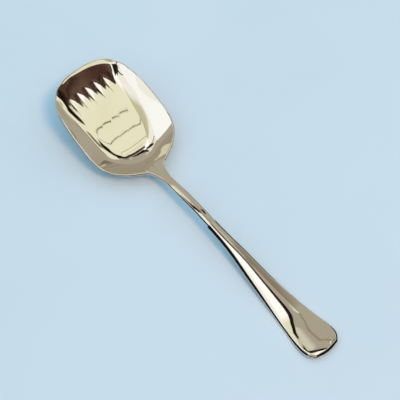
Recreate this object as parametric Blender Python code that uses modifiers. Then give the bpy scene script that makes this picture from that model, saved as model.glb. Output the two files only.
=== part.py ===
"""Rice serving spoon: a pressed shovel bowl with its shank, and a flat handle blade butt-welded to the shank.

The spoon lies as it rests on a table: +X runs from the bowl's front lip to the handle's end, +Y across, +Z up.
The origin is under the middle of its length, on the table. Stations s are millimetres from the front lip.
"""

import bpy
import numpy as np

MM = 0.001

# ---- driving dimensions, millimetres -------------------------------------------------
LENGTH = 228.0            # over all
BOWL_HALF_WIDTH = 28.4    # widest half width of the bowl's rim
BOWL_WIDEST = 44.0        # station of that width
BOWL_BACK = 77.6          # station where the bowl's outline closes behind
LIP_POWER = 2.7           # front outline: how square the lip and its corners are
LIP_ROOT = 3.3
BACK_POWER = 2.3         # back outline: how full the shoulders are
SIDE_FRONT = 24.4         # half width of the side walls where they run out at the lip
NECK_FILLET = 4.4         # blend between the bowl's back and the shank

SHANK_HALF_WIDTH = 2.9
SEAM = 129.0              # station of the weld
SEAM_GAP = 0.3            # room left at the weld

HANDLE_ROOT_HALF = 3.3    # handle half width at the weld
HANDLE_END_HALF = 13.5    # what the taper would reach at the very end
HANDLE_TAPER = 1.62
END_ROUND_START = 196.0   # where the end's rounding starts to act
END_POWER = 6.0
END_ROOT = 2.0

SHEET = 1.2               # bowl sheet
LIP_SHEET = 0.95          # thinned front lip
SHANK_THICK = 2.2
HANDLE_THICK = 2.2
HANDLE_END_THICK = 1.9

# Heights of the upper surface along the middle, and along the rim or edge: (station, height).
MIDDLE = [(0, 25.2), (8, 22.8), (23, 16.9), (38, 10.0), (48, 4.7), (55.5, 0.95), (62, 2.5), (70, 6.2),
          (78, 9.2), (88, 11.0), (103, 12.5), (116, 13.0), (129, 12.2)]
RIM = [(0, 26.2), (5, 28.0), (12, 28.2), (23, 24.6), (34, 20.9), (48, 16.8), (58, 14.4), (68, 12.4),
       (75, 10.7), (80, 9.3), (86, 9.9), (98, 11.6), (116, 12.4), (129, 11.6)]
HANDLE_MIDDLE = [(129, 12.4), (148, 10.3), (168, 6.8), (188, 4.1), (204, 2.75), (216, 3.9), (228, 5.2)]
HANDLE_EDGE = [(129, 11.5), (148, 9.5), (168, 6.0), (188, 3.2), (204, 1.95), (216, 3.2), (228, 4.8)]

# ---- tessellation ---------------------------------------------------------------------
BOWL_STATIONS = 46
BOWL_STRIPS = 9
HANDLE_STATIONS = 34
HANDLE_STRIPS = 5


def curve(points):
    """A smooth curve through the points that never overshoots them."""
    x = np.array([p[0] for p in points], float)
    y = np.array([p[1] for p in points], float)
    h, d = np.diff(x), np.diff(y) / np.diff(x)
    m = np.zeros_like(x)
    for i in range(1, len(x) - 1):
        if d[i - 1] * d[i] > 0:
            a, b = 2 * h[i] + h[i - 1], h[i] + 2 * h[i - 1]
            m[i] = (a + b) / (a / d[i - 1] + b / d[i])
    m[0], m[-1] = d[0], d[-1]

    def at(s):
        s = np.clip(np.asarray(s, float), x[0], x[-1])
        i = np.clip(np.searchsorted(x, s) - 1, 0, len(h) - 1)
        t = (s - x[i]) / h[i]
        return (
            y[i] * (1 + 2 * t) * (1 - t) ** 2
            + m[i] * h[i] * t * (1 - t) ** 2
            + y[i + 1] * t * t * (3 - 2 * t)
            + m[i + 1] * h[i] * t * t * (t - 1)
        )

    return at


def smooth(t):
    t = np.clip(t, 0, 1)
    return t * t * (3 - 2 * t)


middle, rim = curve(MIDDLE), curve(RIM)
handle_middle, handle_edge = curve(HANDLE_MIDDLE), curve(HANDLE_EDGE)


def bowl_half(s):
    """Half width of the bowl and shank at station s."""
    s = np.asarray(s, float)
    front = np.clip((BOWL_WIDEST - s) / BOWL_WIDEST, 1e-9, 1)
    back = np.clip((s - BOWL_WIDEST) / (BOWL_BACK - BOWL_WIDEST), 1e-9, 1)
    lip = np.maximum(1 - front**LIP_POWER, 0) ** (1 / LIP_ROOT)
    shoulder = np.sqrt(np.maximum(1 - back**BACK_POWER, 0))
    wide = BOWL_HALF_WIDTH * np.where(s < BOWL_WIDEST, lip, shoulder)
    gap = wide - SHANK_HALF_WIDTH
    joined = SHANK_HALF_WIDTH + 0.5 * (gap + np.sqrt(gap * gap + NECK_FILLET**2))
    settle = smooth((s - 77) / 15)
    neck = joined * (1 - settle) + SHANK_HALF_WIDTH * settle
    return np.where(s > 58, neck, wide)


def wall_half(s):
    """Half width at which the side walls would end if the lip had no rounded corners."""
    front = np.clip((BOWL_WIDEST - s) / BOWL_WIDEST, 0, 1)
    straight = BOWL_HALF_WIDTH - (BOWL_HALF_WIDTH - SIDE_FRONT) * front**2
    return np.where(s < BOWL_WIDEST, straight, bowl_half(s))


def bowl_height(s, y):
    """Upper surface of the bowl and shank: flat floor, soft fold, sloping wall; a plain crown on the shank."""
    t = np.abs(y) / wall_half(s)
    fold = 0.80 - 0.22 * smooth((s - 6) / 36)
    soft = 0.12 + 0.25 * smooth((s - 48) / 20)
    u = (t - fold) / (1 - fold)
    u0 = -fold / (1 - fold)
    ramp = 0.5 * (u + np.sqrt(u * u + soft * soft)) - 0.5 * (u0 + np.sqrt(u0 * u0 + soft * soft))
    full = 0.5 * (1 + np.sqrt(1 + soft * soft)) - 0.5 * (u0 + np.sqrt(u0 * u0 + soft * soft))
    to_dish = smooth((s - 56) / 18)
    shape = (ramp / full) * (1 - to_dish) + t * t * to_dish
    return middle(s) + (rim(s) - middle(s)) * shape


def bowl_thickness(s, y):
    lip = LIP_SHEET + (SHEET - LIP_SHEET) * smooth(s / 12)
    return lip + (SHANK_THICK - SHEET) * smooth((s - 64) / 20)


def handle_half(s):
    s = np.asarray(s, float)
    run = np.clip((s - SEAM) / (LENGTH - SEAM), 1e-9, 1)
    taper = HANDLE_ROOT_HALF + (HANDLE_END_HALF - HANDLE_ROOT_HALF) * run**HANDLE_TAPER
    end = np.clip((s - END_ROUND_START) / (LENGTH - END_ROUND_START), 1e-9, 1)
    return taper * np.maximum(1 - end**END_POWER, 0) ** (1 / END_ROOT)


def handle_height(s, y):
    t = np.abs(y) / np.maximum(handle_half(s), 2.0)
    return handle_middle(s) + (handle_edge(s) - handle_middle(s)) * np.minimum(t, 1.0) ** 2


def handle_thickness(s, y):
    """The crown is solid metal: the underside stays flat across."""
    edge = HANDLE_THICK + (HANDLE_END_THICK - HANDLE_THICK) * smooth((s - 188) / 35)
    return edge + handle_height(s, y) - handle_edge(s)


def even_stations(half, first, last, count):
    """Stations spaced evenly along the outline between two stations."""
    s = np.linspace(first, last, 4000)
    w = half(s)
    run = np.concatenate([[0], np.cumsum(np.hypot(np.diff(s), np.diff(w)))])
    return np.interp(np.linspace(0, run[-1], count + 1), run, s)


def corner_station(half, lo, hi):
    """The station between lo and hi where the outline runs at 45 degrees."""
    s = np.linspace(lo, hi, 2000)
    slope = np.abs(np.gradient(half(s), s))
    return s[np.argmin(np.abs(slope - 1))]


def bowl_points(u, v):
    """Plan position for the sheet's own coordinates u (lip to weld) and v (middle to edge)."""
    corner = corner_station(bowl_half, 2, 30)
    side = even_stations(bowl_half, corner, SEAM - SEAM_GAP / 2, BOWL_STATIONS)
    s_side = np.interp(u, np.linspace(0, 1, BOWL_STATIONS + 1), side)
    y = v * bowl_half(s_side)
    lip_s = np.linspace(0, corner, 600)
    lip = np.interp(v * bowl_half(corner), bowl_half(lip_s), lip_s)
    reach = np.clip(1 - (s_side - corner) / 26.0, 0, 1) ** 2
    return s_side + (lip - corner) * reach, y


def handle_points(u, v):
    corner = corner_station(handle_half, 205, LENGTH - 0.2)
    side = even_stations(handle_half, SEAM + SEAM_GAP / 2, corner, HANDLE_STATIONS)
    s_side = np.interp(u, np.linspace(0, 1, HANDLE_STATIONS + 1), side)
    y = v * handle_half(s_side)
    end_s = np.linspace(LENGTH, corner, 600)
    end = np.interp(v * handle_half(corner), handle_half(end_s), end_s)
    reach = np.clip(1 - (corner - s_side) / 16.0, 0, 1) ** 2
    return s_side + (end - corner) * reach, y


def metal(name, colour, roughness):
    m = bpy.data.materials.new(name)
    m.use_nodes = True
    shader = m.node_tree.nodes["Principled BSDF"]
    shader.inputs["Base Color"].default_value = (*colour, 1)
    shader.inputs["Metallic"].default_value = 1.0
    shader.inputs["Roughness"].default_value = roughness
    return m


def sheet_piece(name, stations, strips, place, height, thickness, material, edge_round):
    """Half of a formed sheet, mirrored, thickened downwards and rounded at its edges."""
    bpy.ops.mesh.primitive_grid_add(x_subdivisions=stations, y_subdivisions=strips, size=1)
    ob = bpy.context.object
    ob.name = ob.data.name = name
    co = np.zeros(len(ob.data.vertices) * 3)
    ob.data.vertices.foreach_get("co", co)
    co = co.reshape(-1, 3)
    u, v = np.round(co[:, 0] + 0.5, 6), np.round(co[:, 1] + 0.5, 6)
    s, y = place(u, v)
    z = height(s, y)
    ob.data.vertices.foreach_set("co", (np.stack([s - LENGTH / 2, y, z], 1) * MM).ravel())
    ob.data.update()
    depth = thickness(s, y)
    most = float(np.max(depth))
    group = ob.vertex_groups.new(name="thickness")
    for i, t in enumerate(depth):
        group.add([i], float(t) / most, "REPLACE")

    mirror = ob.modifiers.new("both_halves", "MIRROR")
    mirror.use_axis = (False, True, False)
    mirror.merge_threshold = 0.00001
    thick = ob.modifiers.new("thickness", "SOLIDIFY")
    thick.thickness = most * MM
    thick.offset = -1
    thick.vertex_group = "thickness"
    thick.use_quality_normals = True
    edge = ob.modifiers.new("edge_round", "BEVEL")
    edge.width = edge_round * MM
    edge.segments = 2
    edge.limit_method = "ANGLE"
    edge.angle_limit = 1.0
    edge.use_clamp_overlap = True
    ob.data.materials.append(material)
    return ob


def into(collection, ob):
    for c in list(ob.users_collection):
        c.objects.unlink(ob)
    collection.objects.link(ob)


def main():
    for ob in list(bpy.data.objects):
        bpy.data.objects.remove(ob)
    spoon = bpy.data.collections.new("rice_serving_spoon")
    cutters = bpy.data.collections.new("cutters")
    bpy.context.scene.collection.children.link(spoon)
    bpy.context.scene.collection.children.link(cutters)

    polished = metal("bowl_polished_steel", (0.66, 0.63, 0.56), 0.08)
    blade = metal("handle_polished_steel", (0.64, 0.61, 0.54), 0.10)
    bowl = sheet_piece("bowl", BOWL_STATIONS, BOWL_STRIPS, bowl_points, bowl_height, bowl_thickness, polished, 0.28)
    handle = sheet_piece("handle", HANDLE_STATIONS, HANDLE_STRIPS, handle_points, handle_height, handle_thickness,
                         blade, 0.5)

    # the table's plane: what dips below it is ground away, which leaves the flat resting lands
    bpy.ops.mesh.primitive_cube_add(size=1)
    table = bpy.context.object
    table.name = "table_plane"
    table.scale = (0.3, 0.1, 0.02)
    table.location = (0, 0, -0.01)
    bpy.ops.object.transform_apply(location=False, rotation=False, scale=True)
    table.hide_render = True
    table.display_type = "WIRE"
    into(cutters, table)
    for ob in (bowl, handle):
        cut = ob.modifiers.new("resting_land", "BOOLEAN")
        cut.operation = "DIFFERENCE"
        cut.object = table
        into(spoon, ob)
        ob.data.shade_smooth()
        ob.data.set_sharp_from_angle(angle=0.6)


main()
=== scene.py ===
import math

import bpy
import numpy as np
from mathutils import Matrix, Vector


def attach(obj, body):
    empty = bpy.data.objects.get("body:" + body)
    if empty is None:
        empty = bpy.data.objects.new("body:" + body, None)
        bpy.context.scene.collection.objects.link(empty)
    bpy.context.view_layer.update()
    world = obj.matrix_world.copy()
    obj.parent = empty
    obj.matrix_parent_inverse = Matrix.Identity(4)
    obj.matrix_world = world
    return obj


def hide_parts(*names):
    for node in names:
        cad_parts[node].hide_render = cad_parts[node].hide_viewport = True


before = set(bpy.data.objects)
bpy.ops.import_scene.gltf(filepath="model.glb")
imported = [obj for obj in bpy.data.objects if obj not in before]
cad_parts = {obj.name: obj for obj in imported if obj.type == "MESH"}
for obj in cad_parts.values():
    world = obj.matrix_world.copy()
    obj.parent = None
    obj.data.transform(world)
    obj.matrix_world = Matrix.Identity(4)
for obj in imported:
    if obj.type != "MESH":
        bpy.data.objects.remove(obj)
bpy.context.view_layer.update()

# =====================================================================================
# The spoon's own dimensions, millimetres. Stations s run from the front lip to the handle's end.
# =====================================================================================
LENGTH = 228.0
HANDLE_TIP = 228.7
BOWL_HALF_WIDTH = 28.8
BOWL_WIDEST = 44.0
BOWL_BACK = 76.6
LIP_POWER = 2.7
LIP_ROOT = 3.3
BACK_POWER = 2.8
BACK_ROOT = 1.6
SIDE_FRONT = 24.4
NECK_FILLET = 5.8
SHANK_HALF_WIDTH = 3.05
SEAM = 129.0
SEAM_GAP = 0.02
HANDLE_ROOT_HALF = 3.5
HANDLE_END_HALF = 13.8
HANDLE_TAPER = 1.62
END_ROUND_START = 196.0
END_POWER = 6.0
END_ROOT = 2.0
SHEET = 1.2
LIP_SHEET = 0.95
SHANK_THICK = 2.2
HANDLE_THICK = 2.2
HANDLE_END_THICK = 1.9
FLOOR = [(0, 25.3), (6, 23.29), (12, 21.28), (20, 18.28), (27, 15.46), (34, 12.6), (39, 10.46), (44, 8.23),
         (49, 5.9), (54, 3.55), (58, 1.9), (62, 0.75), (66, 0.2), (84, 0.0)]
STEM = [(56, 0.0), (66, 2.6), (72, 5.8), (78, 8.9), (84, 10.4), (92, 11.5), (103, 12.5), (116, 13.0), (129, 12.2)]
RIM = [(0, 26.2), (5, 26.3), (9, 26.0), (13, 25.6), (18, 24.4), (23, 22.9), (28, 21.2), (34, 19.3), (48, 14.9), (58, 12.6), (68, 11.2),
       (75, 10.2), (80, 9.3), (86, 9.9), (98, 11.6), (116, 12.4), (129, 11.6)]
HANDLE_MIDDLE = [(129, 12.4), (148, 10.3), (168, 6.8), (188, 4.1), (204, 2.75), (216, 3.9), (228, 5.2)]
HANDLE_EDGE = [(129, 11.95), (148, 9.8), (168, 6.0), (188, 3.2), (204, 1.95), (216, 3.2), (228, 4.8)]
FOLD = [(0, 27.5), (5, 26.5), (10, 24.0), (15, 21.4), (20, 19.8), (27, 18.4), (35, 17.5), (42, 17.0), (50, 16.8), (70, 16.8)]
FOLD_TURN = 38.0
FOLD_BACK = 63.5
HEEL_SKEW = 2.0
FOLD_POWER = 2.4
TWIST = 0.045
FLUTE_PITCH = 6.4
FLUTE_AT = 1.4
FLUTE_SLOPE = -0.115


# =====================================================================================
# Shape functions
# =====================================================================================
def smooth(t):
    t = np.clip(t, 0, 1)
    return t * t * (3 - 2 * t)


def curve(points, blur=2.0):
    """A curve through the points, softened so that a mirror finish shows no kinks along it."""
    x = np.array([p[0] for p in points], float)
    y = np.array([p[1] for p in points], float)
    h, d = np.diff(x), np.diff(y) / np.diff(x)
    m = np.zeros_like(x)
    for i in range(1, len(x) - 1):
        if d[i - 1] * d[i] > 0:
            a, b = 2 * h[i] + h[i - 1], h[i] + 2 * h[i - 1]
            m[i] = (a + b) / (a / d[i - 1] + b / d[i])
    m[0], m[-1] = d[0], d[-1]
    step = 0.05
    reach = 5 * blur
    s = np.arange(x[0] - reach, x[-1] + reach + step, step)
    c = np.clip(s, x[0], x[-1])
    i = np.clip(np.searchsorted(x, c) - 1, 0, len(h) - 1)
    t = (c - x[i]) / h[i]
    f = (
        y[i] * (1 + 2 * t) * (1 - t) ** 2
        + m[i] * h[i] * t * (1 - t) ** 2
        + y[i + 1] * t * t * (3 - 2 * t)
        + m[i + 1] * h[i] * t * t * (t - 1)
    )
    f = np.where(s < x[0], y[0] + m[0] * (s - x[0]), f)
    f = np.where(s > x[-1], y[-1] + m[-1] * (s - x[-1]), f)
    n = int(4 * blur / step)
    k = np.exp(-0.5 * (np.arange(-n, n + 1) * step / blur) ** 2)
    g = np.convolve(np.pad(f, n, mode="edge"), k / k.sum(), mode="valid")
    return lambda q: np.interp(q, s, g)


floor_line, stem, rim, fold_half = curve(FLOOR, 3.0), curve(STEM, 2.4), curve(RIM, 3.0), curve(FOLD, 4.0)
handle_middle, handle_edge = curve(HANDLE_MIDDLE, 4.0), curve(HANDLE_EDGE, 4.0)


def neck_outline(s):
    s = np.asarray(s, float)
    front = np.clip((BOWL_WIDEST - s) / BOWL_WIDEST, 1e-9, 1)
    back = np.clip((s - BOWL_WIDEST) / (BOWL_BACK - BOWL_WIDEST), 1e-9, 1)
    lip = np.maximum(1 - front**LIP_POWER, 0) ** (1 / LIP_ROOT)
    shoulder = np.maximum(1 - back**BACK_POWER, 0) ** (1 / BACK_ROOT)
    wide = BOWL_HALF_WIDTH * np.where(s < BOWL_WIDEST, lip, shoulder)
    gap = wide - SHANK_HALF_WIDTH
    joined = SHANK_HALF_WIDTH + 0.5 * (gap + np.sqrt(gap * gap + NECK_FILLET**2))
    settle = smooth((s - 76) / 14)
    neck = joined * (1 - settle) + SHANK_HALF_WIDTH * settle
    into_neck = smooth((s - 52) / 12)
    return wide * (1 - into_neck) + neck * into_neck


def soft_outline():
    """The outline with its shoulders run softly into the neck."""
    q = np.arange(-10, 150, 0.05)
    sharp = neck_outline(q)
    k = np.exp(-0.5 * (np.arange(-160, 161) * 0.05 / 2.0) ** 2)
    soft = np.convolve(np.pad(sharp, 160, mode="edge"), k / k.sum(), mode="valid")
    w = smooth((q - 54) / 12)
    table = sharp * (1 - w) + soft * w
    return lambda s: np.interp(s, q, table)


bowl_half = soft_outline()


def wall_half(s):
    front = np.clip((BOWL_WIDEST - s) / BOWL_WIDEST, 0, 1)
    straight = BOWL_HALF_WIDTH - (BOWL_HALF_WIDTH - SIDE_FRONT) * front**2
    return np.where(s < BOWL_WIDEST, straight, bowl_half(s))


def near_side(y):
    return 0.5 - 0.5 * np.tanh(y / 3.0)


def fold_distance(s, y):
    """Distance outside the rounded line where the flat floor of the bowl turns up into its walls."""
    half = fold_half(s) - 3.7 * near_side(y) * (1 - smooth((s - 3) / 15))
    across = np.abs(y) / half
    back = FOLD_BACK - FOLD_TURN + HEEL_SKEW * smooth((y + 9) / 20)
    along = np.clip((s - FOLD_TURN) / back, 0, None)
    p = FOLD_POWER
    q = np.maximum((across**p + along**p) ** (1 / p), 1e-6)
    gy = across ** (p - 1) / half * q ** (1 - p)
    gs = along ** (p - 1) / back * q ** (1 - p)
    flat = np.where(s < FOLD_TURN, 1 / half, np.hypot(gy, gs))
    return (q - 1) / np.maximum(flat, 0.02)


def turn_up(d, s, y):
    """Rise of the wall, as a soft ramp over the distance from the fold."""
    soft = 1.45 + 1.2 * near_side(y) * (1 - smooth((s - 2) / 22)) + (0.40 + 0.75 * near_side(y + 9)) * smooth((s - 34) / 28)
    return soft * np.log1p(np.exp(np.clip(d / soft, -40, 40)))


def lip_line(y):
    """Station of the front edge at a distance from the middle."""
    q = np.linspace(0, 20, 400)
    return np.interp(y, bowl_half(q), q)


def press_flutes(s, y):
    """Shallow flutes left in the floor by the press, meeting in soft ridges, and the flared lip."""
    grow = smooth((s - 9.5) / 8) * (1 - 0.7 * smooth((s - 17) / 8)) * (1 - smooth((s - 34) / 12))
    flat = 1 - smooth((np.abs(y) - 14) / 4)
    uneven = 1 + 0.25 * np.sin(y / 4.1 + 1.0)
    wave = 0
    for n in range(1, 7):
        wave = wave + (-1) ** n * np.cos(2 * math.pi * n * (y - FLUTE_AT) / FLUTE_PITCH) / n**2
    flare = 0.045 * np.clip(2.5 + 0.05 * y - (s - np.minimum(lip_line(np.abs(y)), np.where(y > 0, 9.0, 3.0))), 0, None) ** 2
    flare = flare * (1 - smooth((-y - 10) / 5)) * (1 - smooth((y - 19) / 4))
    flare = flare + 0.0012 * np.clip(np.abs(y) - 10, 0, None) ** 2 * np.clip(1 - s / 13, 0, None) ** 1.5
    return FLUTE_SLOPE * FLUTE_PITCH / math.pi**2 * grow * flat * uneven * wave + flare


def heel_dip(s, y):
    """The slight hollow just before the floor turns up into the heel."""
    return 0.3 * np.exp(-(((s - 56) / 5) ** 2) / 2) * (1 - smooth((np.abs(y) - 8) / 10))


def bowl_height(s, y):
    edge = wall_half(s)
    side = np.where(y < 0, -edge, edge)
    rise = turn_up(fold_distance(s, y), s, y) / turn_up(fold_distance(s, side), s, side)
    spread = 0.14 * (1 - smooth((s - 50) / 16))
    rise = rise * (1 + spread - spread * rise)
    pan = floor_line(s) + (rim(s) - floor_line(s)) * rise + press_flutes(s, y) - heel_dip(s, y)
    shank = stem(s) + (rim(s) - stem(s)) * (y / edge) ** 2
    neck = smooth((s - 66) / 16)
    return pan * (1 - neck) + shank * neck - TWIST * smooth((s - 100) / 26) * y


def bowl_thickness(s, y):
    lip = LIP_SHEET + (SHEET - LIP_SHEET) * smooth(s / 12)
    return lip + (SHANK_THICK - SHEET) * smooth((s - 64) / 20) - heel_dip(s, y)


def handle_half(s):
    s = np.asarray(s, float)
    run = np.clip((s - SEAM) / (LENGTH - SEAM), 1e-9, 1)
    taper = HANDLE_ROOT_HALF + (HANDLE_END_HALF - HANDLE_ROOT_HALF) * run**HANDLE_TAPER
    taper = taper + 0.4 * smooth((s - 140) / 26)
    end = np.clip((s - END_ROUND_START) / (HANDLE_TIP - END_ROUND_START), 1e-9, 1)
    return taper * np.maximum(1 - end**END_POWER, 0) ** (1 / END_ROOT)


def handle_crown(s, y):
    t = np.abs(y) / np.maximum(handle_half(s), 2.0)
    return (handle_middle(s) - handle_edge(s)) * (1 - np.minimum(t, 1.2) ** 2)


def handle_height(s, y):
    rolled = 0.016 * np.clip(s - 221.5, 0, None) ** 2
    return handle_edge(s) + handle_crown(s, y) - rolled - TWIST * (1 - smooth((s - 138) / 28)) * y


def handle_thickness(s, y):
    edge = HANDLE_THICK + (HANDLE_END_THICK - HANDLE_THICK) * smooth((s - 188) / 35)
    return edge + handle_crown(s, y)


def even_stations(half, first, last, count):
    s = np.linspace(first, last, 8000)
    w = half(s)
    run = np.concatenate([[0], np.cumsum(np.hypot(np.diff(s), np.diff(w)))])
    return np.interp(np.linspace(0, run[-1], count + 1), run, s)


def corner_station(half, lo, hi):
    s = np.linspace(lo, hi, 4000)
    slope = np.abs(np.gradient(half(s), s))
    return s[np.argmin(np.abs(slope - 1))]


def bowl_plan(nu, nv, inset):
    """Plan positions of the bowl's sheet: nu rows from lip to weld, nv columns from edge to edge."""
    half = lambda s: np.maximum(bowl_half(s) - inset(s), 0.02)
    corner = corner_station(half, 2, 30)
    side = even_stations(half, corner, SEAM - SEAM_GAP / 2, nu)
    v = np.linspace(-1, 1, nv + 1)
    s_side, v = np.meshgrid(side, v, indexing="ij")
    y = v * half(s_side)
    lip_s = np.linspace(0, corner, 1500)
    lip = np.interp(np.abs(v) * half(corner), bowl_half(lip_s) - inset(lip_s) * np.linspace(0, 1, 1500), lip_s)
    lip = lip + inset(lip) * (1 - smooth(lip / corner))
    reach = np.clip(1 - (s_side - corner) / 26.0, 0, 1) ** 2
    return s_side + (lip - corner) * reach, y


def handle_plan(nu, nv, inset):
    half = lambda s: np.maximum(handle_half(s) - inset(s), 0.02)
    corner = corner_station(half, 205, HANDLE_TIP - 0.3)
    side = even_stations(half, SEAM + SEAM_GAP / 2, corner, nu)
    v = np.linspace(-1, 1, nv + 1)
    s_side, v = np.meshgrid(side, v, indexing="ij")
    y = v * half(s_side)
    end_s = np.linspace(HANDLE_TIP, corner, 1500)
    end = np.interp(np.abs(v) * half(corner), handle_half(end_s) - inset(end_s) * np.linspace(0, 1, 1500), end_s)
    end = end - inset(end) * (1 - smooth((HANDLE_TIP - end) / (HANDLE_TIP - corner)))
    reach = np.clip(1 - (corner - s_side) / 16.0, 0, 1) ** 2
    return s_side + (end - corner) * reach, y


# =====================================================================================
# Solid sheet with a rounded rim
# =====================================================================================
def normals_of(height, s, y, eps=0.02):
    zs = (height(s + eps, y) - height(s - eps, y)) / (2 * eps)
    zy = (height(s, y + eps) - height(s, y - eps)) / (2 * eps)
    n = np.stack([-zs, -zy, np.ones_like(zs)], -1)
    return n / np.linalg.norm(n, axis=-1, keepdims=True)


ROUND = [(math.cos(a), math.sin(a)) for a in np.linspace(math.pi / 2, -math.pi / 2, 11)[1:-1]]
BEVEL = [(0.08, 0.985), (0.16, 0.94), (0.26, 0.84), (0.42, 0.64), (0.60, 0.43), (0.78, 0.22), (0.90, 0.02), (0.99, -0.45),
         (0.95, -0.85)]
CHAMFER = [(0.12, 0.99), (0.24, 0.96), (0.36, 0.89), (0.50, 0.79), (0.64, 0.68), (0.77, 0.57), (0.92, 0.30), (1.0, -0.30),
           (0.92, -0.85)]


def bend(v):
    """A slight hand-worked unevenness of the bowl and its two front corners."""
    s, y = v[:, 0] + LENGTH / 2, v[:, 1]
    front = np.exp(-(((s - 5) / 8) ** 2))
    moved = np.zeros_like(v)
    moved[:, 1] = 1.4 * front * (y / 20) ** 2 + 0.8 * smooth((s - 4) / 26) * (1 - smooth((s - 46) / 34))
    moved[:, 1] += 0.7 * np.exp(-(((s - 9) / 7) ** 2)) * smooth((y - 8) / 12) + 0.3 * smooth((s - 126) / 24) * (1 - smooth((s - 148) / 26))
    moved[:, 0] = 0.8 * np.exp(-(((y + 14) / 7) ** 2)) * np.exp(-((s / 6) ** 2))
    return moved


def edged_sheet(name, s, y, height, thickness, reach, profile, bevel, square_end):
    """A closed shell: upper surface, lower surface, and a rounded or bevelled edge all the way round."""
    nu, nv = s.shape[0] - 1, s.shape[1] - 1
    z = height(s, y)
    top = np.stack([s - LENGTH / 2, y, z], -1)
    n = normals_of(height, s, y)
    low = top - n * thickness(s, y)[..., None]
    low[..., 2] = np.maximum(low[..., 2], 0.0)
    grid = np.arange((nu + 1) * (nv + 1)).reshape(nu + 1, nv + 1)
    loop = np.concatenate([grid[0, :-1], grid[:-1, -1], grid[-1, :0:-1], grid[:0:-1, 0]])
    flat_top, flat_low, flat_n = top.reshape(-1, 3), low.reshape(-1, 3), n.reshape(-1, 3)
    count = len(flat_top)
    verts = [flat_top, flat_low]
    a, b, c, d = grid[:-1, :-1], grid[1:, :-1], grid[1:, 1:], grid[:-1, 1:]
    faces = list(zip(a.ravel(), b.ravel(), c.ravel(), d.ravel()))
    faces += [(q[3] + count, q[2] + count, q[1] + count, q[0] + count) for q in faces]
    p_top, p_low = flat_top[loop], flat_low[loop]
    mid, up = (p_top + p_low) / 2, (p_top - p_low) / 2
    tangent = np.roll(mid, -1, 0) - np.roll(mid, 1, 0)
    end_row = grid[square_end]
    at_end = np.isin(loop, end_row)
    for k in np.nonzero(at_end & np.isin(loop, end_row[[0, -1]]))[0]:
        side = np.roll(np.arange(len(loop)), 1)[k] if not at_end[k - 1] else (k + 1) % len(loop)
        tangent[k] = (mid[k] - mid[side]) * (1 if not at_end[k - 1] else -1)
    tangent /= np.linalg.norm(tangent, axis=1, keepdims=True)
    out = np.cross(flat_n[loop], tangent)
    out /= np.linalg.norm(out, axis=1, keepdims=True)
    s_loop = mid[:, 0] + LENGTH / 2
    far = reach(s_loop)
    far[at_end & ~np.isin(loop, end_row[[0, -1]])] = 0.0
    mixed = bevel(s_loop)
    previous, base, idx = loop, 2 * count, np.arange(len(loop))
    nxt = np.roll(idx, -1)
    for (ro, ru), (bo, bu) in zip(ROUND, profile):
        o = (ro * (1 - mixed) + bo * mixed) * far
        u = ru * (1 - mixed) + bu * mixed
        ring = mid + up * u[:, None] + out * o[:, None]
        ring[:, 2] = np.maximum(ring[:, 2], 0.0)
        verts.append(ring)
        here = base + idx
        faces += list(zip(previous[idx], previous[nxt], here[nxt], here[idx]))
        previous = here
        base += len(loop)
    here = loop + count
    faces += list(zip(previous[idx], previous[nxt], here[nxt], here[idx]))
    verts = np.concatenate(verts)
    verts = verts + bend(verts)
    mesh = bpy.data.meshes.new(name)
    mesh.from_pydata((verts * 0.001).tolist(), [], [tuple(int(i) for i in f) for f in faces])
    mesh.validate()
    mesh.update()
    ob = bpy.data.objects.new(name, mesh)
    bpy.context.scene.collection.objects.link(ob)
    mesh.shade_smooth()
    mesh.set_sharp_from_angle(angle=math.radians(50))
    return ob


def bowl_reach(s):
    return 0.50 + 0.45 * smooth((s - 70) / 12)


def bowl_bevel(s):
    return smooth((s - 72) / 14)


s, y = bowl_plan(260, 216, bowl_reach)
bowl = edged_sheet("bowl_shell", s, y, bowl_height, bowl_thickness, bowl_reach, CHAMFER, bowl_bevel, -1)
def handle_reach(s):
    return 1.85 - 0.5 * smooth((s - 165) / 35) + 0.2 * smooth((s - 204) / 20)


s, y = handle_plan(170, 48, handle_reach)
handle = edged_sheet("handle_blade", s, y, handle_height, handle_thickness, handle_reach,
                     BEVEL, lambda s: np.ones_like(s), 0)


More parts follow.
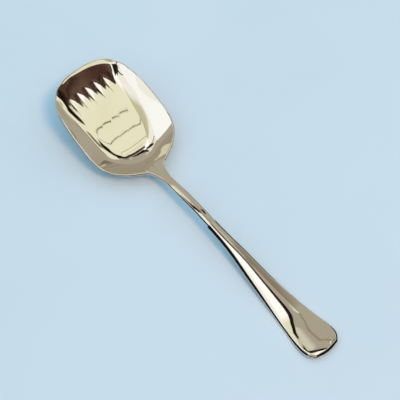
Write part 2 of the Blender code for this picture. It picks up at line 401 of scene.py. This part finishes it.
# =====================================================================================
# Materials
# =====================================================================================
def steel(name, colour, darker, polish, worn, line_scale):
    """Polished steel: fine polishing lines along the spoon, cloudy handling marks, a slightly uneven tone."""
    m = bpy.data.materials.new(name)
    m.use_nodes = True
    nodes, links = m.node_tree.nodes, m.node_tree.links
    sh = nodes["Principled BSDF"]
    sh.inputs["Metallic"].default_value = 1.0
    place = nodes.new("ShaderNodeTexCoord")
    cloud = nodes.new("ShaderNodeTexNoise")
    cloud.inputs["Scale"].default_value = 55.0
    cloud.inputs["Detail"].default_value = 4.0
    links.new(place.outputs["Object"], cloud.inputs["Vector"])
    gloss = nodes.new("ShaderNodeMapRange")
    gloss.inputs["From Min"].default_value = 0.35
    gloss.inputs["From Max"].default_value = 0.75
    gloss.inputs["To Min"].default_value = polish
    gloss.inputs["To Max"].default_value = worn
    links.new(cloud.outputs["Fac"], gloss.inputs["Value"])
    links.new(gloss.outputs["Result"], sh.inputs["Roughness"])
    tone = nodes.new("ShaderNodeValToRGB")
    tone.color_ramp.elements[0].position = 0.30
    tone.color_ramp.elements[0].color = (*darker, 1)
    tone.color_ramp.elements[1].position = 0.62
    tone.color_ramp.elements[1].color = (*colour, 1)
    links.new(cloud.outputs["Fac"], tone.inputs["Fac"])
    links.new(tone.outputs["Color"], sh.inputs["Base Color"])
    along = nodes.new("ShaderNodeMapping")
    along.inputs["Scale"].default_value = (line_scale * 0.03, line_scale, line_scale)
    links.new(place.outputs["Object"], along.inputs["Vector"])
    lines = nodes.new("ShaderNodeTexNoise")
    lines.inputs["Scale"].default_value = 1.0
    lines.inputs["Detail"].default_value = 3.0
    links.new(along.outputs["Vector"], lines.inputs["Vector"])
    bump = nodes.new("ShaderNodeBump")
    bump.inputs["Strength"].default_value = 0.05
    bump.inputs["Distance"].default_value = 0.00001
    links.new(lines.outputs["Fac"], bump.inputs["Height"])
    links.new(bump.outputs["Normal"], sh.inputs["Normal"])
    return m


bowl.data.materials.append(steel("bowl_polish", (0.80, 0.77, 0.70), (0.77, 0.735, 0.655), 0.025, 0.06, 900.0))
handle.data.materials.append(steel("handle_polish", (0.80, 0.77, 0.70), (0.77, 0.735, 0.655), 0.03, 0.07, 700.0))
for ob, node, slot in ((bowl, "bowl", "bowl_steel"), (handle, "handle", "handle_steel")):
    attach(ob, "root")
    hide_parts(node)

# =====================================================================================
# Floor, light, camera
# =====================================================================================
mesh = bpy.data.meshes.new("floor")
mesh.from_pydata([(-3, -3, 0), (3, -3, 0), (3, 3, 0), (-3, 3, 0)], [], [(0, 1, 2, 3)])
floor = bpy.data.objects.new("floor", mesh)
bpy.context.scene.collection.objects.link(floor)
fm = bpy.data.materials.new("floor_paper")
fm.use_nodes = True
grain = fm.node_tree.nodes.new("ShaderNodeTexNoise")
grain.inputs["Scale"].default_value = 9.0
grain.inputs["Detail"].default_value = 6.0
tone = fm.node_tree.nodes.new("ShaderNodeValToRGB")
tone.color_ramp.elements[0].position, tone.color_ramp.elements[1].position = 0.3, 0.7
tone.color_ramp.elements[0].color = (0.605, 0.748, 0.85, 1)
tone.color_ramp.elements[1].color = (0.635, 0.772, 0.87, 1)
place = fm.node_tree.nodes.new("ShaderNodeTexCoord")
fm.node_tree.links.new(place.outputs["Object"], grain.inputs["Vector"])
fm.node_tree.links.new(grain.outputs["Fac"], tone.inputs["Fac"])
fm.node_tree.links.new(tone.outputs["Color"], fm.node_tree.nodes["Principled BSDF"].inputs["Base Color"])
fm.node_tree.nodes["Principled BSDF"].inputs["Roughness"].default_value = 0.8
floor.data.materials.append(fm)

SKY = 8.0
OVER_BOWL = (-0.085, 0.0, 0.015)
OVER_HEEL = (-0.0545, 0.004, 0.002)
OVER_NEAR = (-0.062, -0.012, 0.003)
OVER_CORNER = (-0.102, 0.0228, 0.022)
OVER_HANDLE = (0.060, 0.0, 0.006)


def overhead(point, x, y, height):
    """Where the direction x, y (degrees from overhead, toward +X and +Y) from a point meets a ceiling."""
    th = math.hypot(x, y)
    k = math.tan(math.radians(th)) / max(th, 1e-9) * (height - point[2])
    return (point[0] + k * x, point[1] + k * y, height)


def card(name, point, outline, colour, lower=0.0, soft=0.0):
    """A plain glowing panel that only mirror reflections see, outlined in degrees from overhead."""
    height = SKY - lower
    pts = np.array(outline, float)
    n = len(pts)
    verts = [overhead(point, x, y, height) for x, y in pts]
    faces = [tuple(range(n))]
    fade = [1.0] * n
    if soft:
        d = np.roll(pts, -1, 0) - np.roll(pts, 1, 0)
        d /= np.linalg.norm(d, axis=1)[:, None]
        out = np.stack([d[:, 1], -d[:, 0]], 1)
        area = np.sum(pts[:, 0] * np.roll(pts[:, 1], -1) - np.roll(pts[:, 0], -1) * pts[:, 1])
        verts += [overhead(point, x, y, height) for x, y in pts + out * soft * np.sign(area)]
        fade += [0.0] * n
        faces += [(i, (i + 1) % n, n + (i + 1) % n, n + i) for i in range(n)]
    mesh = bpy.data.meshes.new(name)
    mesh.from_pydata(verts, [], faces)
    mesh.attributes.new("fade", "FLOAT", "POINT").data.foreach_set("value", fade)
    ob = bpy.data.objects.new(name, mesh)
    bpy.context.scene.collection.objects.link(ob)
    m = bpy.data.materials.new(name)
    m.use_nodes = True
    nt = m.node_tree
    nt.nodes.remove(nt.nodes["Principled BSDF"])
    glow = nt.nodes.new("ShaderNodeEmission")
    glow.inputs["Color"].default_value = (*colour, 1)
    clear = nt.nodes.new("ShaderNodeBsdfTransparent")
    edge = nt.nodes.new("ShaderNodeAttribute")
    edge.attribute_name = "fade"
    mix = nt.nodes.new("ShaderNodeMixShader")
    nt.links.new(edge.outputs["Fac"], mix.inputs["Fac"])
    nt.links.new(clear.outputs["BSDF"], mix.inputs[1])
    nt.links.new(glow.outputs["Emission"], mix.inputs[2])
    nt.links.new(mix.outputs["Shader"], nt.nodes["Material Output"].inputs["Surface"])
    mesh.materials.append(m)
    ob.visible_camera = ob.visible_diffuse = ob.visible_shadow = False
    ob.visible_transmission = ob.visible_volume_scatter = False
    return ob


def strip(name, point, line, width, colour, lower=0.0, soft=0.0):
    """A card along a line, with a width in degrees at each end of it."""
    pts = np.array(line, float)
    d = np.gradient(pts, axis=0)
    side = np.stack([-d[:, 1], d[:, 0]], 1) / np.linalg.norm(d, axis=1)[:, None]
    w = np.interp(np.linspace(0, 1, len(pts)), np.linspace(0, 1, len(width)), width)[:, None] / 2
    outline = np.concatenate([pts + side * w, (pts - side * w)[::-1]])
    return card(name, point, [tuple(q) for q in outline], colour, lower, soft)


CREAM = (1.0, 0.985, 0.76)
WHITE = (1.30, 1.30, 1.32)
TAUPE = (0.49, 0.45, 0.37)
BROWN = (0.085, 0.039, 0.028)
BLACK = (0.012, 0.008, 0.006)
OLIVE = (0.42, 0.39, 0.22)
LINE = (0.12, 0.11, 0.06)

# painted reflections: glowing cards that only mirror reflections see, white panels overhead and toward -Y, cream panel
# toward +X, dark screen and frame between them
card("panel_olive", OVER_BOWL, [(4, 6), (16, 6), (16, -24), (6, -34)], (0.66, 0.64, 0.44), 0.0, 4)
card("panel_pale", OVER_HANDLE, [(-36, 7), (-29, 9), (-25, 9.2), (-16, 11.7), (-6, 14), (-6, -40), (-36, -40)], (0.98, 0.95, 0.79), 0.005, 1)
card("panel_white", OVER_HANDLE, [(-8, 14), (0.5, 17.1), (12, 16), (12, 9), (7, 2), (7, -20), (-8, -20)], WHITE, 0.01, 5)
card("panel_low", OVER_HANDLE, [(-15, 4), (5, 0), (6, -30), (8, -45), (7, -55), (-15, -55)], (1.08, 1.08, 1.03), 0.015, 5)
card("panel_cream", OVER_BOWL, [(5, 24), (8, 20), (10, 14), (13, 6), (34, 3), (40, 40), (30, 66), (-14, 66), (-8, 52), (5, 46)], CREAM, 0.02, 1.5)
# painted reflection: a soft pale patch seen only in the handle's mirror reflection
card("painted_reflection_pale", OVER_HANDLE, [(-22, 13.2), (-25, 14.5), (-36, 15), (-36, 11.5), (-25, 11.2)], (0.75, 0.745, 0.62), 0.05, 3)
strip("frame_long", OVER_HANDLE, [(-28.6, 10.5), (-25.3, 10.2), (-16, 12.7), (-8.6, 16.6), (0.4, 19.4)], (1.6, 2.6, 3.6, 4.2, 4.2), BLACK, 0.06)
strip("frame_bowl", OVER_BOWL, [(1.5, 60), (4.8, 54), (7.8, 47)], (1.5, 2.0, 2.0), (0.25, 0.20, 0.15), 0.065, 0.5)
strip("frame_near", OVER_NEAR, [(4.2, 46.5), (6.5, 43), (9.0, 37), (9.4, 32)], (1.5, 3.5, 5.5, 6), BLACK, 7.87)
strip("frame_low", OVER_HEEL, [(-4.5, 14.5), (-9, 8.5), (-18, -5), (-28, -19)], (5, 7, 9, 6), BLACK, 7.7)
card("screen_brown", OVER_BOWL, [(2.8, 15.5), (7, 15.5), (10.8, 20), (8.6, 24), (8.2, 27), (2.8, 27)], BROWN, 0.08, 0.15)
# painted reflection: dark and brown streaks inside the reflected brown screen over the bowl
strip("painted_reflection_streak_a", OVER_BOWL, [(2.6, 17.6), (7.5, 17.8)], (0.3, 0.5), (0.15, 0.09, 0.065), 0.085, 0.6)
strip("painted_reflection_streak_b", OVER_BOWL, [(2.6, 19.3), (9.5, 19.6)], (0.4, 0.3), (0.035, 0.016, 0.012), 0.085, 0.5)
strip("painted_reflection_streak_c", OVER_BOWL, [(2.6, 21.0), (6.0, 21.2)], (0.5, 0.2), (0.17, 0.11, 0.075), 0.085, 0.6)
strip("painted_reflection_streak_d", OVER_BOWL, [(2.6, 22.9), (8.5, 23.0)], (0.3, 0.4), (0.04, 0.018, 0.013), 0.085, 0.6)
card("screen_black", OVER_BOWL, [(-0.3, 26.8), (8.6, 26.8), (9.4, 31), (8.4, 35), (7.0, 38), (5.0, 41.5), (3.0, 45), (-0.3, 49)], BLACK, 0.09, 0.4)
card("shade_black", OVER_BOWL, [(1.5, 25.5), (6.5, 25.5), (6.5, 28), (1.5, 28)], BLACK, 0.095, 4.0)
# painted reflection: thin dark lines seen only in the bowl's mirror reflection
card("painted_reflection_line_a", OVER_BOWL, [(14.9, 16), (15.25, 16), (14.95, 22), (14.6, 22)], LINE, 0.1)
strip("painted_reflection_line_b", OVER_BOWL, [(13.7, 26), (17.7, 23.5), (20.1, 21), (20.5, 18), (19.9, 14), (17.7, 6)], (0.45, 0.45), LINE, 0.1)
strip("band_brown", OVER_BOWL, [(22, 64), (0, 67), (-9, 67.5)], (1.5, 1.5), (0.27, 0.22, 0.16), 0.12, 1.5)
# painted reflection: a soft brown patch seen only in the handle's mirror reflection
card("painted_reflection_brown", OVER_HANDLE, [(-6, 28), (-2, 28), (-2, 38), (-6, 38)], (0.30, 0.25, 0.18), 0.12, 5)
strip("dash_white", OVER_HANDLE, [(-6.7, 25), (-9, 24.8), (-12.5, 25.4)], (1.0, 1.6, 1.0), CREAM, 0.13)
strip("line_brown", OVER_HANDLE, [(-13.5, 25.4), (-22.6, 23.4), (-28, 20.3)], (0.8, 0.8), (0.36, 0.29, 0.21), 0.13, 0.6)
# painted reflection: a dark curl seen only in the reflection at the bowl's far front corner
strip("painted_reflection_curl_a", OVER_CORNER, [(2, 2), (0, -2), (-5, -8), (-7.2, -16), (-7.5, -37)], (5, 6, 5, 4, 3), (0.03, 0.04, 0.025), 7.7)


def flag(name, corners, colour):
    """A plain upright or flat sheet that glows with its colour and is seen only in reflections: a painted reflection,
    bright or dark.
    """
    mesh = bpy.data.meshes.new(name)
    mesh.from_pydata(corners, [], [tuple(range(len(corners)))])
    mesh.attributes.new("fade", "FLOAT", "POINT").data.foreach_set("value", [1.0] * len(corners))
    ob = bpy.data.objects.new(name, mesh)
    bpy.context.scene.collection.objects.link(ob)
    m = bpy.data.materials.new(name)
    m.use_nodes = True
    nt = m.node_tree
    nt.nodes.remove(nt.nodes["Principled BSDF"])
    glow = nt.nodes.new("ShaderNodeEmission")
    glow.inputs["Color"].default_value = (*colour, 1)
    nt.links.new(glow.outputs["Emission"], nt.nodes["Material Output"].inputs["Surface"])
    mesh.materials.append(m)
    ob.visible_camera = ob.visible_diffuse = ob.visible_shadow = False
    ob.visible_transmission = ob.visible_volume_scatter = False
    return ob


# painted reflections: a bright sheet toward -Y, and black sheets toward -Y and beyond the handle's end that darken only
# the steel's reflections
flag("panel_side", [(-7, -6, 3.5), (1.5, -6, 3.5), (1.5, -6, 9), (-7, -6, 9)], (1.17, 1.21, 1.25))
flag("painted_dark_reflection_side", [(-7, -6.01, -0.1), (9, -6.01, -0.1), (9, -6.01, 3.5), (-7, -6.01, 3.5)], BLACK)
flag("painted_dark_reflection_end", [(7, -6, -0.1), (7, 14, -0.1), (7, 14, 2.6), (7, -6, 2.6)], BLACK)
# painted dark reflection: black sheets just above the floor, seen only in reflections, that darken the handle's and
# bowl's edges
flag("painted_dark_reflection_floor", [(-2.9, -2.9, 0.001), (2.9, -2.9, 0.001), (2.9, -0.045, 0.001), (-2.9, -0.045, 0.001)], BLACK)
flag("painted_dark_reflection_floor_end", [(0.1155, -0.045, 0.001), (2.9, -0.045, 0.001), (2.9, 2.9, 0.001), (0.1155, 2.9, 0.001)], BLACK)
flag("painted_dark_reflection_floor_near", [(-0.02, -0.0065, 0.001), (0.02, -0.0072, 0.001), (0.06, -0.0105, 0.001), (0.09, -0.0150, 0.001), (0.1155, -0.0175, 0.001), (0.1155, -0.045, 0.001), (-0.02, -0.045, 0.001)], BLACK)
flag("painted_dark_reflection_floor_far", [(-0.02, 0.0065, 0.001), (0.02, 0.0072, 0.001), (0.06, 0.0105, 0.001), (0.09, 0.0150, 0.001), (0.1155, 0.0175, 0.001), (0.1155, 0.07, 0.001), (-0.02, 0.07, 0.001)], BLACK)
flag("painted_dark_reflection_floor_bowl", [(-0.10, 0.045, 0.001), (-0.0205, 0.022, 0.001), (-0.0205, 0.15, 0.001), (-0.10, 0.15, 0.001)], BLACK)

world = bpy.data.worlds.new("studio")
bpy.context.scene.world = world
world.use_nodes = True
wn, wl = world.node_tree.nodes, world.node_tree.links
fill = wn["Background"]
fill.inputs["Strength"].default_value = 1.0
room = wn.new("ShaderNodeBackground")
room.inputs["Strength"].default_value = 1.0
way = wn.new("ShaderNodeTexCoord")
part = wn.new("ShaderNodeSeparateXYZ")
wl.new(way.outputs["Generated"], part.inputs["Vector"])
tone = wn.new("ShaderNodeValToRGB")
tone.color_ramp.elements[0].position = 0.0
tone.color_ramp.elements[0].color = (0.40, 0.36, 0.29, 1)
tone.color_ramp.elements[1].position = 0.30
tone.color_ramp.elements[1].color = (*TAUPE, 1)
dome = wn.new("ShaderNodeValToRGB")
dome.color_ramp.elements[0].position = 0.0
dome.color_ramp.elements[0].color = (0.053, 0.075, 0.088, 1)
dome.color_ramp.elements[1].position = 1.0
dome.color_ramp.elements[1].color = (0.755, 1.09, 1.27, 1)
wl.new(part.outputs["Z"], dome.inputs["Fac"])
wl.new(dome.outputs["Color"], fill.inputs["Color"])
wl.new(part.outputs["Z"], tone.inputs["Fac"])
wl.new(tone.outputs["Color"], room.inputs["Color"])
path = wn.new("ShaderNodeLightPath")
mix = wn.new("ShaderNodeMixShader")
wl.new(path.outputs["Is Glossy Ray"], mix.inputs["Fac"])
wl.new(fill.outputs["Background"], mix.inputs[1])
wl.new(room.outputs["Background"], mix.inputs[2])
wl.new(mix.outputs["Shader"], wn["World Output"].inputs["Surface"])

key = bpy.data.lights.new("key", "AREA")
key.shape = "DISK"
key.size = 0.90
key.energy = 40
key.color = (1.0, 0.49, 0.22)
lamp = bpy.data.objects.new("key", key)
lamp.location = (1.48, 0.08, 2.61)
lamp.rotation_euler = (-lamp.location).to_track_quat("-Z", "Y").to_euler()
lamp.visible_glossy = False
lamp.visible_camera = False
bpy.context.scene.collection.objects.link(lamp)

AZ, EL, DIST = math.radians(50.0), math.radians(59.0), 0.7469
TARGET = Vector((-0.00666, 0.00911, 0.0003))
right = Vector((math.cos(AZ), math.sin(AZ), 0))
fwd = Vector((-math.sin(AZ) * math.cos(EL), math.cos(AZ) * math.cos(EL), -math.sin(EL)))
up = right.cross(fwd)
cam = bpy.data.cameras.new("camera")
cam.sensor_width = 36.0
cam.lens = 36.0 * 1260.0 / 400.0
cam.clip_start = 0.01
camera = bpy.data.objects.new("camera", cam)
camera.matrix_world = Matrix.Translation(TARGET - fwd * DIST) @ Matrix((right, up, -fwd)).transposed().to_4x4()
bpy.context.scene.collection.objects.link(camera)
bpy.context.scene.camera = camera
bpy.context.scene.view_settings.view_transform = "Standard"
